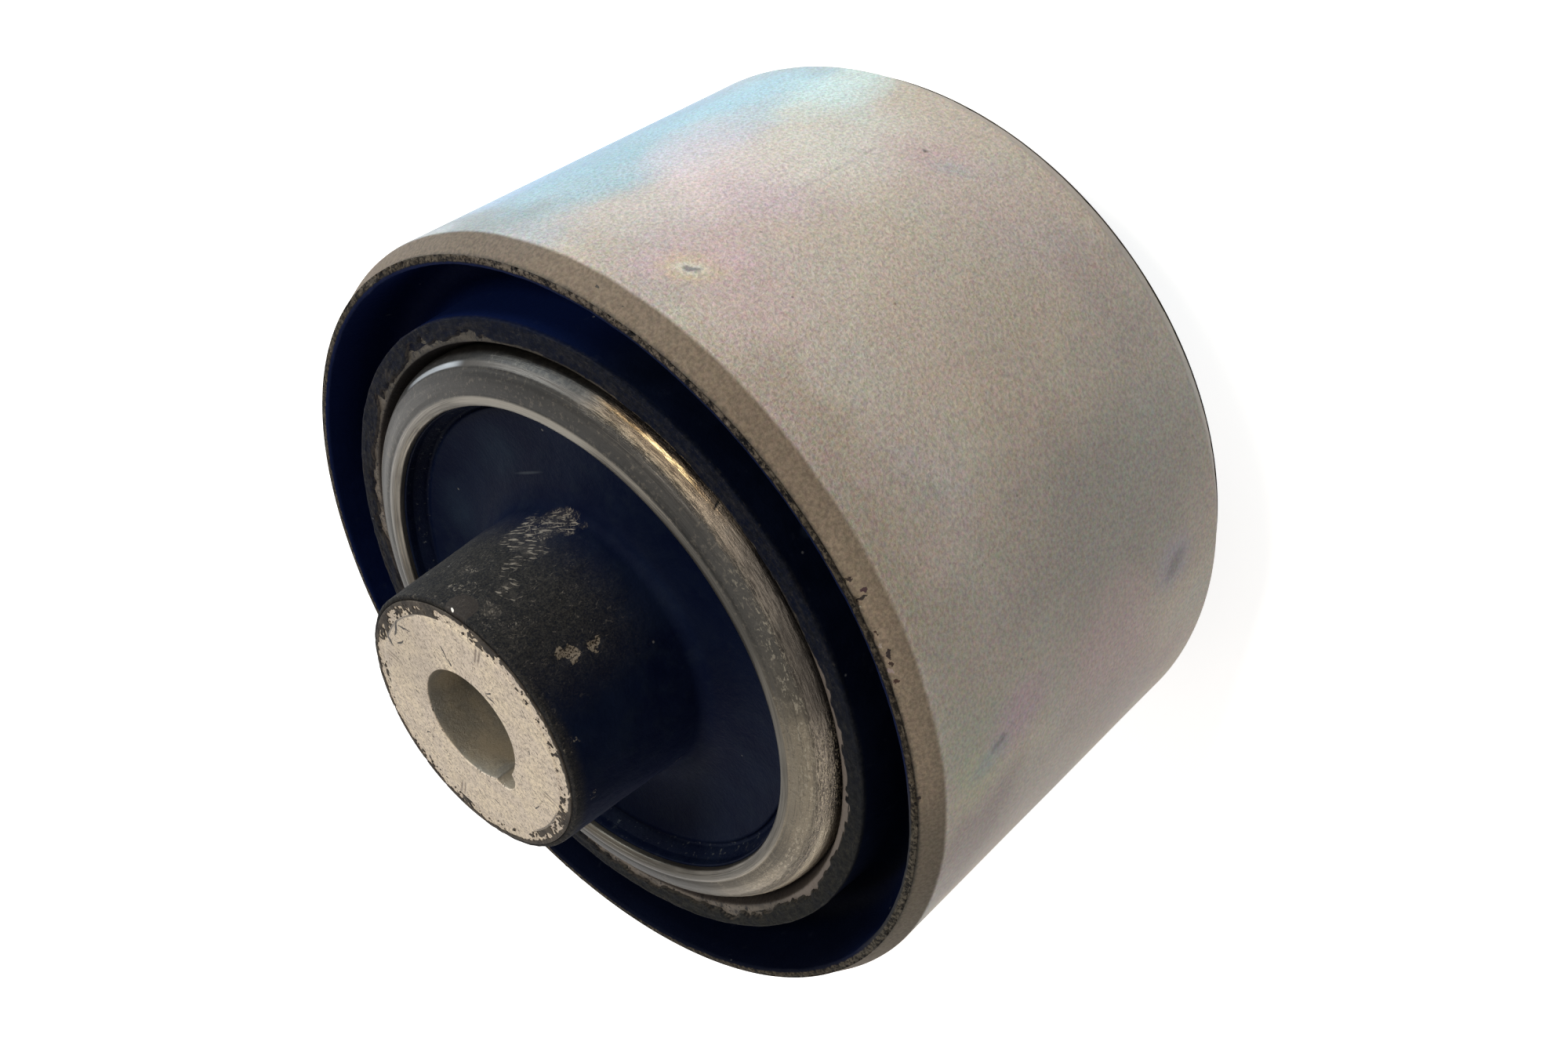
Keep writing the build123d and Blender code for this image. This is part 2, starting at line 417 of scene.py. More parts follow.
def zinc_material():
    p = Paint("zinc_passivated", metallic=0.08, specular=0.25)
    broad = p.noise(0.035, 3, 0.55, twist=0.6)
    second = p.noise(0.05, 3, 0.6, at=p.moved(140, 60, 20), twist=0.8)
    cloud = p.noise(0.16, 4, 0.6, at=p.moved(31, 7, 90))
    grain = p.noise(2.9, 3, 0.6)
    fine = p.noise(8.0, 2, 0.5)
    base = p.ramp(broad, [
        (0.3, (0.45, 0.46, 0.43)), (0.43, (0.5, 0.45, 0.39)), (0.52, (0.51, 0.45, 0.39)),
        (0.62, (0.51, 0.43, 0.4)), (0.75, (0.46, 0.42, 0.44)),
    ])
    film = p.ramp(second, [
        (0.28, (0.44, 0.46, 0.47)), (0.4, (0.47, 0.47, 0.42)), (0.5, (0.51, 0.46, 0.39)),
        (0.6, (0.53, 0.44, 0.4)), (0.72, (0.47, 0.41, 0.43)),
    ])
    colour = p.mix(0.4, base, film)
    loose = p.warped(0.12, 14.0)
    # Soft tints: azimuth, height, width, length, amount and tone. The short patches are the
    # passivation's own tints. The long bands down the wall are partly painted light: those at 188, 178
    # and 166 degrees are the passivation's blue with a painted cool sheen over it, the dark one at 160
    # is a painted reflection, and the grey ones at 70 and 36 are painted shade.
    for angle, z, width, length, amount, tone in (
        (188, 2, 20, 44, 0.6, (0.42, 0.465, 0.5)), (178, -4, 16, 42, 0.6, (0.35, 0.46, 0.58)),
        (166, 0, 12, 40, 0.85, (0.285, 0.455, 0.65)), (160, 0, 8, 44, 0.6, (0.22, 0.35, 0.45)),
        (154, 10, 10, 24, 0.78, (0.285, 0.475, 0.57)), (158, 21, 14, 7, 0.8, (0.24, 0.27, 0.28)),
        (145, 21, 7, 6, 0.7, (0.38, 0.42, 0.46)), (153, -15, 10, 19, 0.85, (0.34, 0.56, 0.68)),
        (143, -19, 8, 12, 0.75, (0.58, 0.76, 0.78)), (145, 0, 9, 14, 0.65, (0.53, 0.56, 0.67)),
        (136, 6, 11, 13, 0.6, (0.68, 0.58, 0.6)), (131, -8, 10, 15, 0.55, (0.66, 0.66, 0.62)),
        (139, 14, 9, 8, 0.42, (0.46, 0.46, 0.46)), (128, 14, 8, 9, 0.45, (0.44, 0.35, 0.38)),
        (121, 14, 13, 10, 0.42, (0.54, 0.4, 0.4)), (128, 4, 8, 7, 0.5, (0.5, 0.4, 0.46)),
        (132, 21, 8, 6, 0.5, (0.38, 0.33, 0.31)), (118, -12, 15, 10, 0.4, (0.53, 0.43, 0.43)),
        (104, -16, 9, 8, 0.4, (0.47, 0.38, 0.4)), (104, -2, 13, 16, 0.4, (0.5, 0.42, 0.37)),
        (100, 22, 24, 6, 0.6, (0.36, 0.31, 0.25)), (80, 20, 20, 7, 0.65, (0.34, 0.31, 0.25)),
        (92, -6, 22, 14, 0.4, (0.4, 0.355, 0.3)), (93, -19, 12, 9, 0.5, (0.34, 0.3, 0.3)),
        (70, -6, 18, 36, 0.8, (0.285, 0.275, 0.26)), (50, -4, 11, 12, 0.6, (0.46, 0.35, 0.37)),
        (58, 19, 8, 9, 0.6, (0.35, 0.39, 0.32)), (40, 18, 10, 10, 0.75, (0.26, 0.21, 0.2)),
        (38, -12, 9, 14, 0.55, (0.46, 0.36, 0.36)), (36, 4, 10, 36, 0.45, (0.3, 0.265, 0.255)),
    ):
        mask = p.spot(angle, OUTER_R, z, (30, width, length), at=loose)
        colour = p.lay(colour, [(amount, tone, mask)])
    # Four faint contact marks: soft tinted patches, each with a darker core.
    near = p.warped(0.8, 1.6)
    for angle, z, width, length, tilt, amount, tone in (
        (128.6, 18.6, 5.6, 3.4, 49, 0.34, (0.64, 0.44, 0.54)),
        (126.4, 17.2, 4.6, 3.2, 49, 0.5, (0.56, 0.47, 0.25)),
        (126.2, 17.1, 2.5, 1.5, 49, 0.7, (0.6, 0.62, 0.56)),
        (126.0, 17.1, 1.2, 0.5, 49, 0.8, (0.13, 0.12, 0.14)),
        (124.6, 13.2, 3.6, 2.6, 49, 0.3, (0.62, 0.44, 0.52)),
        (52.0, 18.2, 7.2, 5, -76, 0.55, (0.44, 0.45, 0.3)),
        (55.6, 12.6, 7.6, 4.8, -76, 0.55, (0.46, 0.32, 0.42)),
        (53.0, 16.9, 4.6, 2.3, -76, 0.5, (0.28, 0.36, 0.38)),
        (54.2, 15.4, 2.0, 0.6, -76, 0.5, (0.06, 0.065, 0.075)),
        (121.1, -14.7, 6.2, 4, 40, 0.3, (0.54, 0.4, 0.44)),
        (119.6, -14.4, 3.2, 1.8, 40, 0.45, (0.36, 0.42, 0.42)),
        (124.0, -14.6, 0.40, 0.4, 0, 0.8, (0.06, 0.07, 0.06)),
        (56.5, -15.0, 5.0, 4.4, -60, 0.5, (0.36, 0.33, 0.44)),
        (56.2, -15.4, 3.0, 1.8, -55, 0.65, (0.17, 0.17, 0.17)),
    ):
        mask = p.spot(angle, OUTER_R, z, (3, width, length), at=near, tilt=tilt)
        colour = p.lay(colour, [(amount, tone, mask)])
    # A long faint score runs down the wall.
    long_score = p.spot(128.5, OUTER_R, -3, (3, 0.35, 17), at=p.warped(0.8, 0.48))
    colour = p.lay(colour, [(0.22, (0.24, 0.22, 0.24), long_score)])
    # The chamfer is browner and duller than the cylinder, darkest at its foot. Its brown is partly
    # painted light: it is laid far stronger on the +Z end than on the -Z end, painted shade darkens it
    # facing 149 and 26 degrees, and facing 118 degrees it takes a painted lighter tone.
    chamfer = p.span(p.plus(p.height, p.times(cloud, 0.4)), 23.45, 23.95)
    foot = p.span(p.height, 25.2, 23.6)
    front = p.span(p.z, -5, 5)
    chamfer_brown_and_shade = p.mix(cloud, (0.19, 0.16, 0.115), (0.245, 0.19, 0.145))
    chamfer_brown_and_shade = p.lay(chamfer_brown_and_shade, [
        (0.4, (0.15, 0.122, 0.094), foot),
        (0.9, (0.118, 0.09, 0.066), p.facing(149, 64, 40)),
        (0.85, (0.092, 0.078, 0.058), p.facing(26, 34, 18)),
        (0.3, (0.2, 0.155, 0.11), p.facing(118, 28, 12)),
    ])
    speck = p.noise(2.9, 3, 0.65)
    chamfer_brown_and_shade = p.shade(chamfer_brown_and_shade, p.span(speck, 0.36, 0.62, 0.82, 1.18, smooth=False))
    edge = p.span(p.plus(p.height, p.times(p.noise(1.4, 3, 0.7), 0.6)), 25.85, 26.3)
    colour = p.lay(colour, [
        (1, chamfer_brown_and_shade, chamfer, p.blend(front, 0.25, 0.94)),
        (1, (0.045, 0.042, 0.036), edge, p.blend(front, 0.35, 0.8)),
    ])
    # Chips and smears of rubber along the sawn edge.
    chipped = p.warped(2.2, 0.9)
    for angle, z, width, length, tone in (
        (85.4, 25.45, 0.42, 0.16, (0.03, 0.022, 0.02)), (83.5, 24.95, 0.3, 0.38, (0.06, 0.035, 0.04)),
        (82.6, 25.35, 0.34, 0.42, (0.025, 0.02, 0.018)), (82.1, 25.75, 0.3, 0.25, (0.33, 0.34, 0.28)),
        (78.3, 25.4, 0.32, 0.22, (0.04, 0.022, 0.018)), (76.6, 25.6, 0.34, 0.24, (0.36, 0.31, 0.28)),
        (75.2, 25.25, 0.6, 0.2, (0.025, 0.018, 0.018)), (74.0, 25.35, 0.36, 0.28, (0.04, 0.025, 0.02)),
        (73.2, 25.55, 0.3, 0.2, (0.32, 0.26, 0.25)), (71.7, 25.4, 0.34, 0.22, (0.05, 0.028, 0.022)),
        (54.8, 25.6, 0.4, 0.25, (0.04, 0.03, 0.03)), (131.5, 24.6, 0.26, 0.18, (0.05, 0.045, 0.04)),
        (127.0, 24.8, 0.22, 0.16, (0.05, 0.045, 0.04)),
    ):
        mask = p.spot(angle, CHAMFER_R + 0.4, z, (1.2, width, length), at=chipped)
        colour = p.mix(p.span(mask, 0.15, 0.45), colour, tone)
    # Small dark pits, and the sandy grain of the blasted and plated wall.
    pits = p.span(p.cells(0.22), 0.04, 0.022)
    colour = p.lay(colour, [(0.55, (0.12, 0.11, 0.1), pits)])
    sparkle = p.span(grain, 0.34, 0.66, 0.8, 1.2, smooth=False)
    sparkle = p.blend(p.times(chamfer, 0.55), sparkle, 1.0)
    colour = p.shade(colour, sparkle)
    hues = p.mix(p.times(chamfer, 0.8), p.cloud(2.6), (0.5, 0.5, 0.5))
    colour = p.mix(0.45, colour, hues, mode="SOFT_LIGHT")
    roughness = p.plus(0.4, p.times(p.plus(cloud, grain), 0.1))
    soft = p.blend(p.times(chamfer, 0.55), grain, 0.5)
    heights = [(soft, 0.12), (fine, 0.015), (p.noise(0.12, 3, 0.5), 0.25)]
    dull = p.times(chamfer, front)
    roughness = p.blend(dull, roughness, 0.8)
    return p.finish(colour, roughness, heights, metallic=p.blend(dull, 0.08, 0.02))


def outer_rubber_material():
    p = Paint("outer_rubber", specular=0.03)
    cloud = p.noise(0.22, 4, 0.65)
    fine = p.noise(1.6, 4, 0.6)
    grit = p.noise(4.5, 3, 0.6)
    turned = p.drawn(9, 1.6, 4, 0.6)
    clouded = p.span(cloud, 0.35, 0.7)
    # Painted shade: the groove's inner wall is darker than its outer wall, which offsets the lamp that
    # lights it.
    inner_wall = p.mix(clouded, (0.0008, 0.002, 0.0075), (0.0018, 0.0036, 0.0115))
    outer_wall = p.mix(clouded, (0.0014, 0.0044, 0.026), (0.0026, 0.007, 0.034))
    colour = p.mix(p.span(p.radius, 37.4, 38.6), inner_wall, outer_wall)
    lip = p.times(p.span(p.height, 25.0, 25.6), p.span(p.radius, 40.2, 40.6))
    # Painted light and shade round the groove: bluer facing 176 degrees, darker facing -42 degrees.
    colour = p.lay(colour, [
        (0.8, (0.002, 0.0066, 0.04), p.facing(176, 52, 30)),
        (0.8, (0.0005, 0.001, 0.0028), p.facing(-42, 72, 45)),
        (0.7, (0.04, 0.04, 0.036), lip, p.facing(38, 22, 10)),
    ])
    # The film on the two steel edges is greyer, with torn lighter streaks.
    ragged = p.plus(p.radius, p.times(fine, 0.3))
    rim = p.times(p.span(p.height, 25.55, 26.0), p.span(ragged, 41.05, 41.25))
    face = p.times(p.span(p.height, 25.2, 25.7), p.span(p.radius, 35.7, 35.2))
    streak = p.span(turned, 0.5, 0.7)
    threads = p.span(p.drawn(34, 5.0, 3, 0.7, twist=0.4), 0.6, 0.68)
    dark = p.span(p.noise(0.9, 4, 0.7, at=p.moved(9, 4, 77)), 0.54, 0.62)
    crust = p.noise(2.1, 5, 0.75, at=p.moved(71, 5, 11))
    pale_crust = p.span(crust, 0.6, 0.66)
    lip_line = p.times(p.span(p.radius, 41.16, 41.02), p.facing(128, 85, 66))
    slate = p.mix(p.span(fine, 0.42, 0.6), (0.002, 0.0032, 0.0095), (0.015, 0.0155, 0.018))
    slate = p.lay(slate, [
        (0.55, (0.045, 0.039, 0.032), streak),
        (0.5, (0.085, 0.078, 0.066), threads),
        (0.5, (0.003, 0.005, 0.013), p.facing(105, 75, 50)),
        (0.45, (0.024, 0.024, 0.017), p.facing(5, 75, 20)),
        (0.6, (0.005, 0.006, 0.01), dark),
        (0.65, (0.0025, 0.0032, 0.005), p.span(crust, 0.5, 0.42)),
        (0.35, (0.06, 0.056, 0.048), pale_crust),
        (0.55, (0.13, 0.115, 0.1), p.add("ShaderNodeAttribute", attribute_name="torn").outputs["Fac"]),
    ])
    olive = p.mix(p.span(fine, 0.35, 0.68), (0.03, 0.025, 0.018), (0.1, 0.084, 0.062))
    olive = p.lay(olive, [
        (0.5, (0.16, 0.14, 0.11), streak),
        (0.45, (0.15, 0.125, 0.105), p.facing(128, 34, 14)),
        (0.35, (0.03, 0.026, 0.021), p.facing(72, 18, 8)),
        (0.45, (0.11, 0.105, 0.09), p.facing(30, 26, 12)),
        (1, (0.006, 0.006, 0.006), dark),
        (0.85, (0.007, 0.0065, 0.006), p.span(crust, 0.52, 0.45)),
        (0.6, (0.21, 0.185, 0.155), pale_crust),
        (0.85, (0.004, 0.005, 0.008), lip_line),
    ])
    dust = p.span(p.cells(0.26, at=p.moved(3, 8, 5)), 0.045, 0.02)
    faint = p.span(p.noise(0.7, 3, 0.6), 0.6, 0.8)
    lint = p.spot(-166.1, 40.1, 20.0, (0.7, 0.25, 0.9), tilt=30)
    # A dried drop on the inner wall of the groove is a ring round a clear middle.
    drop = p.minus(
        p.spot(91.6, 35.4, 21.6, (2.0, 0.9, 1.3)),
        p.times(p.spot(91.6, 35.4, 21.7, (2.0, 0.6, 1.0)), 0.7),
    )
    colour = p.lay(colour, [
        (0.95, slate, face),
        (0.95, olive, rim),
        (0.45, (0.16, 0.17, 0.19), dust),
        (0.08, (0.06, 0.07, 0.1), faint),
        (0.5, (0.12, 0.13, 0.15), lint),
        (0.35, (0.06, 0.08, 0.12), drop),
    ])
    roughness = p.plus(0.46, p.times(p.plus(cloud, fine), 0.14))
    return p.finish(colour, roughness, [(fine, 0.05), (grit, 0.02), (turned, 0.03)])


def middle_material():
    p = Paint("middle_steel", metallic=0.45, specular=0.2)
    clouded = p.span(p.noise(0.35, 4, 0.65), 0.35, 0.65)
    fine = p.noise(2.2, 4, 0.65)
    turned = p.drawn(6, 2.4, 4, 0.6)
    dull = p.mix(clouded, (0.026, 0.022, 0.017), (0.062, 0.053, 0.04))
    tan = p.mix(clouded, (0.08, 0.068, 0.056), (0.15, 0.125, 0.102))
    colour = p.mix(p.facing(-78, 105, 45), dull, tan)
    colour = p.lay(colour, [
        (0.4, (0.15, 0.13, 0.105), p.span(turned, 0.5, 0.66)),
        (1, (0.014, 0.013, 0.013), p.span(fine, 0.53, 0.61)),
        (0.8, (0.15, 0.125, 0.108), p.facing(42, 38, 28)),
        # The mouth's edge into the gap is painted near black: dirt, and painted shade in the gap.
        (0.85, (0.012, 0.01, 0.011), p.span(p.plus(p.radius, p.times(fine, 0.5)), 33.25, 32.9)),
    ])
    roughness = p.plus(0.4, p.times(fine, 0.25))
    return p.finish(colour, roughness, [(fine, 0.05), (turned, 0.05)])


def shell_material():
    p = Paint("bright_steel", metallic=0.9, specular=0.5)
    cloud = p.noise(0.16, 4, 0.6)
    fine = p.noise(2.0, 4, 0.65)
    turned = p.drawn(3.0, 2.2, 3, 0.55)
    thin = p.drawn(5.0, 7.0, 3, 0.6)
    broken = p.drawn(20.0, 4.6, 4, 0.75)
    flecks = p.drawn(95.0, 5.2, 3, 0.7)
    # Outside the middle of the roll the tool has left rough bright marks.
    edge = p.plus(p.radius, p.span(broken, 0.35, 0.65, -0.22, 0.22, smooth=False))
    worked = p.times(p.span(edge, 30.45, 30.95), p.minus(1.0, p.facing(168, 41, 34)))
    bead = p.times(p.span(p.radius, 28.3, 28.05), p.span(p.height, 26.6, 27.0))
    clouded = p.span(cloud, 0.32, 0.68)
    smooth = p.mix(clouded, (0.072, 0.07, 0.064), (0.108, 0.102, 0.088))
    # Painted light and shade round the axis on the smooth roll: lighter and browner facing 8 and 48
    # degrees, darker facing -28, -140 and 142.
    smooth = p.lay(smooth, [
        (1, p.mix(clouded, (0.074, 0.062, 0.044), (0.11, 0.09, 0.064)), p.facing(8, 92, 38)),
        (0.6, (0.2, 0.17, 0.125), p.facing(48, 20, 8)),
        (0.85, (0.02, 0.019, 0.014), p.facing(-28, 30, 12)),
        (0.6, (0.036, 0.035, 0.03), p.facing(-140, 26, 12)),
        (0.85, p.mix(cloud, (0.03, 0.029, 0.029), (0.048, 0.046, 0.043)), p.facing(142, 85, 40)),
        (0.4, (0.04, 0.037, 0.032), p.span(thin, 0.5, 0.66)),
        (0.3, (0.19, 0.165, 0.13), p.span(fine, 0.54, 0.66)),
        (0.35, (0.028, 0.026, 0.024), p.span(p.noise(3.4, 2, 0.6), 0.56, 0.66)),
    ])
    # The tone of these marks changes from the wall (0) up to the crown (1), as painted reflection and
    # shade that follow the slope; facing 115 degrees a narrow painted golden highlight runs across them.
    wall = p.plus(p.height, p.span(broken, 0.35, 0.65, -0.12, 0.12, smooth=False))
    across = p.span(wall, 25.0, 28.0, smooth=False)
    plain = p.ramp(across, [
        (0.05, (0.014, 0.012, 0.011)), (0.2, (0.14, 0.12, 0.1)), (0.5, (0.13, 0.11, 0.089)),
        (0.8, (0.11, 0.096, 0.076)),
    ])
    golden_highlight = p.ramp(across, [
        (0.08, (0.012, 0.01, 0.009)), (0.17, (0.08, 0.06, 0.042)), (0.24, (0.29, 0.2, 0.108)),
        (0.31, (0.13, 0.102, 0.07)), (0.38, (0.11, 0.085, 0.062)), (0.48, (0.15, 0.122, 0.088)),
        (0.58, (0.115, 0.098, 0.075)), (0.68, (0.085, 0.076, 0.064)),
    ])
    marked = p.mix(p.facing(115, 18, 8), plain, golden_highlight)
    marked = p.shade(marked, p.span(broken, 0.4, 0.62, 0.6, 1.45))
    # Painted light and shade round the axis on the marks: darker facing 72 and -4 degrees, lighter
    # facing 100, and a pale painted highlight low on the shoulder facing 10 degrees.
    marked = p.lay(marked, [
        (1, (0.3, 0.255, 0.19), p.span(flecks, 0.5, 0.6), p.facing(-50, 120, 100)),
        (0.7, (0.05, 0.042, 0.034), p.span(thin, 0.6, 0.7)),
        (0.5, (0.034, 0.029, 0.025), p.facing(72, 13, 5)),
        (0.4, (0.045, 0.038, 0.028), p.facing(-4, 14, 6)),
        (0.4, (0.22, 0.18, 0.14), p.facing(100, 8, 2)),
        (0.8, (0.7, 0.61, 0.47), p.span(p.height, 26.5, 25.9), p.facing(10, 34, 16)),
    ])
    # The crest of the painted golden highlight facing 113.5 degrees breaks up into fine drawn lines.
    lines = p.span(p.drawn(7.0, 11.0, 3, 0.6), 0.4, 0.56)
    lane = p.band(wall, 25.5, 25.66, 25.8, 25.98)
    marked = p.lay(marked, [(1, (1.0, 0.78, 0.44), p.facing(113.5, 7, 2.5), lines, lane)])
    # The bead's crest is painted lighter and darker round the axis: a painted highlight facing 146
    # degrees, and painted shade facing 20 and 92 degrees.
    crest = p.mix(p.span(thin, 0.42, 0.62), (0.185, 0.17, 0.145), (0.11, 0.1, 0.086))
    crest = p.lay(crest, [
        (0.4, (0.05, 0.044, 0.034), p.facing(20, 90, 55)),
        (0.5, (0.026, 0.026, 0.025), p.facing(92, 22, 10)),
        (0.55, (0.34, 0.315, 0.27), p.facing(146, 24, 14)),
        (0.45, (0.125, 0.106, 0.08), p.facing(-75, 55, 35)),
    ])
    chatter = p.span(p.drawn(42, 2.6, 2, 0.7, twist=0.4), 0.56, 0.62)
    chatter = p.times(chatter, p.band(p.radius, 29.2, 29.7, 30.7, 31.2))
    # Left of the worked marks the shoulder is painted dark, as painted shade that dims the cool lamp's
    # reflection there. Its one thin ridge is painted darker facing 145 degrees and carries a painted
    # bluish highlight facing 174, and the furrow is painted shade facing 132.
    crease = p.band(p.radius, 30.78, 30.95, 31.14, 31.3)
    furrow = p.band(p.height, 27.05, 27.18, 27.3, 27.46)
    shoulder = p.mix(p.span(fine, 0.4, 0.6), (0.02, 0.019, 0.018), (0.036, 0.033, 0.029))
    smooth = p.lay(smooth, [
        (0.95, shoulder, p.facing(159, 31, 25), p.span(p.radius, 30.55, 30.85)),
        (1, (0.058, 0.052, 0.046), crease, p.facing(145, 24, 14)),
        (1, (0.5, 0.53, 0.56), crease, p.facing(174, 12, 5)),
        (0.55, (0.022, 0.021, 0.02), furrow, p.facing(132, 36, 26)),
    ])
    worms = p.span(p.size(p.minus(p.noise(2.6, 2, 0.5, twist=0.8), 0.5)), 0.035, 0.01)
    stain = p.span(p.noise(0.5, 4, 0.7, at=p.moved(50, 3, 3)), 0.62, 0.72)
    nick = p.spot(102.5, 31.7, 25.4, (1.2, 0.22, 1.0), tilt=25)
    dash = p.most(p.spot(85.8, 29.9, 27.3, (0.5, 1.3, 0.6)), p.spot(69.9, 28.6, 27.9, (0.3, 1.1, 0.5)))
    # Painted shade darkens the shell facing -28 and -70 degrees.
    colour = p.lay(p.mix(worked, smooth, marked), [
        (0.55, (0.27, 0.24, 0.185), chatter, p.facing(48, 52, 36)),
        (0.65, (0.014, 0.014, 0.011), p.facing(-28, 26, 12)),
        (0.35, (0.05, 0.038, 0.022), p.facing(0, 22, 10)),
        (0.3, (0.06, 0.045, 0.03), p.facing(-62, 20, 10)),
        (0.45, (0.27, 0.235, 0.175), worms, p.facing(24, 62, 44), p.span(cloud, 0.46, 0.56)),
        (1, crest, bead),
        (0.4, (0.12, 0.11, 0.095), stain),
        (0.38, (0.03, 0.025, 0.02), p.facing(-70, 78, 46)),
        (1, (0.01, 0.01, 0.01), nick),
        (0.6, (0.06, 0.055, 0.05), dash),
    ])
    roughness = p.blend(
        worked,
        p.plus(0.3, p.times(p.plus(cloud, thin), 0.1)),
        p.plus(0.24, p.times(broken, 0.26)),
    )
    ridge = p.times(p.plus(broken, p.times(flecks, 0.6)), worked)
    return p.finish(colour, roughness, [(turned, 0.03), (thin, 0.018), (ridge, 0.07), (fine, 0.014)])


def inner_rubber_material():
    p = Paint("inner_rubber", specular=0.03)
    cloud = p.noise(0.11, 4, 0.65)
    middle = p.noise(0.5, 4, 0.65)
    fine = p.noise(1.8, 4, 0.65)
    grit = p.noise(4.2, 3, 0.6)
    skin = p.span(p.radius, 17.5, 15.4)
    # The skin is painted lighter where it faces +Y and -X, partly worn and partly painted light; the
    # other side stays dark as painted shade.
    worn_and_lit_side = p.facing(148, 75.52, 31.79)
    worn_and_lit_side = p.most(worn_and_lit_side, p.span(p.height, 39.8, 41.6))
    end = p.times(skin, worn_and_lit_side, p.span(p.height, 26.0, 34.0))
    colour = p.mix(p.span(cloud, 0.38, 0.68), (0.0016, 0.0036, 0.0155), (0.0042, 0.0078, 0.0225))
    # Painted shade near the skin's foot facing 86 degrees, and a painted sheen on the membrane round 176
    # and -146 degrees.
    painted_sheen = p.most(p.spot(176, 21, 24.2, (4, 6, 3)), p.spot(-146, 21.5, 24.2, (4, 5, 3)))
    colour = p.lay(colour, [
        (0.4, (0.0085, 0.0135, 0.026), p.span(middle, 0.45, 0.72)),
        (0.5, (0.0012, 0.0024, 0.01), p.facing(86, 44, 20), p.span(p.radius, 16.0, 17.0)),
        (0.7, (0.014, 0.025, 0.045), painted_sheen, middle),
    ])
    # The skin up the sleeve is a brownish black, worn and painted lighter on its lit side, with fine
    # pale scuffs.
    fuzz = p.noise(5.0, 3, 0.7, twist=0.3)
    veins = p.noise(1.0, 3, 0.6, at=p.vector("MULTIPLY", p.P, (1.7, 1.7, 0.9)), twist=0.9)
    veins = p.span(p.size(p.minus(veins, 0.5)), 0.016, 0.004)
    hair = p.noise(1.0, 4, 0.75, at=p.vector("MULTIPLY", p.P, (2.6, 2.6, 1.3)), twist=1.2)
    worn_and_lit = p.mix(p.span(fine, 0.3, 0.75), (0.0135, 0.014, 0.0145), (0.025, 0.0245, 0.024))
    worn_and_lit = p.lay(worn_and_lit, [
        (0.45, (0.056, 0.054, 0.05), p.span(fuzz, 0.46, 0.62)),
        (0.6, (0.0055, 0.008, 0.015), p.span(fuzz, 0.48, 0.38)),
        (0.65, (0.095, 0.087, 0.076), veins, p.span(middle, 0.42, 0.6)),
    ])
    colour = p.lay(colour, [
        (0.95, worn_and_lit, end),
        (0.55, (0.2, 0.18, 0.155), p.span(hair, 0.6, 0.68), end),
    ])
    ragged = p.warped(0.9, 2.6)
    bare = p.most(
        p.spot(97.2, SCUFF_R, 36.6, (2, 1.15, 1.6), at=ragged),
        p.spot(95.1, SCUFF_R, 33.7, (2, 0.75, 0.95), at=ragged),
    )
    strokes = p.noise(1.0, 2, 0.6, at=p.local(146, 30, (0.4, 0.75, 4.4)), twist=0.06)
    strokes = p.span(strokes, 0.565, 0.6)
    crossed = p.most(
        p.span(p.noise(1.0, 3, 0.7, at=p.local(146, -35, (0.6, 1.3, 6.0)), twist=0.15), 0.58, 0.63),
        p.span(p.noise(1.0, 3, 0.7, at=p.local(146, 70, (0.6, 1.2, 6.0)), twist=0.15), 0.59, 0.64),
    )
    speckle = p.span(p.noise(2.3, 3, 0.75), 0.575, 0.63)

    def gather(places):
        """The patches (azimuth, height, width, length, tilt) of one kind of scuff."""
        spots = [
            p.spot(angle, SCUFF_R, z, (3, width, length), at=ragged, tilt=tilt)
            for angle, z, width, length, tilt in places
        ]
        return p.span(p.most(*spots), 0.12, 0.5)

    rubbed = gather((
        (146, 29.6, 5.6, 2.0, -40), (143.5, 26.8, 3.4, 2.4, 0), (150, 31.0, 2.2, 2.6, 20),
        (139, 34.0, 1.1, 2.6, 15), (131, 36.3, 1.0, 1.6, 10),
    ))
    dense = gather((
        (142.5, 26.6, 3.4, 2.4, 0), (148, 28.6, 3.6, 1.8, -30), (152, 36.6, 1.3, 1.2, 0),
        (127.5, 39.0, 1.5, 1.3, 0),
    ))
    dotted = gather((
        (124.6, 40.0, 1.7, 1.6, 0), (120, 38.9, 1.2, 1.4, 0), (146, 38.6, 2.2, 1.4, 20),
        (68.5, 40.6, 0.5, 1.5, 0), (40.7, 39.6, 1.0, 0.9, 0), (14.0, 27.0, 0.9, 1.6, 0),
    ))
    scuffs = p.most(
        p.times(strokes, rubbed), p.times(crossed, dense, 0.8), p.times(speckle, dotted, 0.75),
    )
    pale = p.mix(fine, (0.14, 0.125, 0.105), (0.46, 0.42, 0.36))
    stained = p.mix(p.span(fuzz, 0.42, 0.54), (0.03, 0.026, 0.022), (0.25, 0.215, 0.172))
    # One patch near the end is shiny, as if it were wet.
    clear = p.span(p.spot(137.0, 14.4, 40.8, (2, 2.0, 2.1), tilt=20, at=p.warped(0.6, 1.0)), 0.1, 0.22)
    colour = p.lay(colour, [
        (0.85, pale, scuffs),
        (0.3, (0.085, 0.078, 0.07), p.most(rubbed, dense), p.span(middle, 0.35, 0.65)),
        (0.92, stained, p.span(bare, 0.22, 0.36)),
        (0.65, p.mix(cloud, (0.03, 0.026, 0.024), (0.058, 0.05, 0.046)), clear),
    ])
    glint = p.spot(138.6, 14.3, 41.4, (1.0, 0.42, 0.15), tilt=-25)
    colour = p.mix(p.span(glint, 0.2, 0.5), colour, (0.85, 0.83, 0.8))
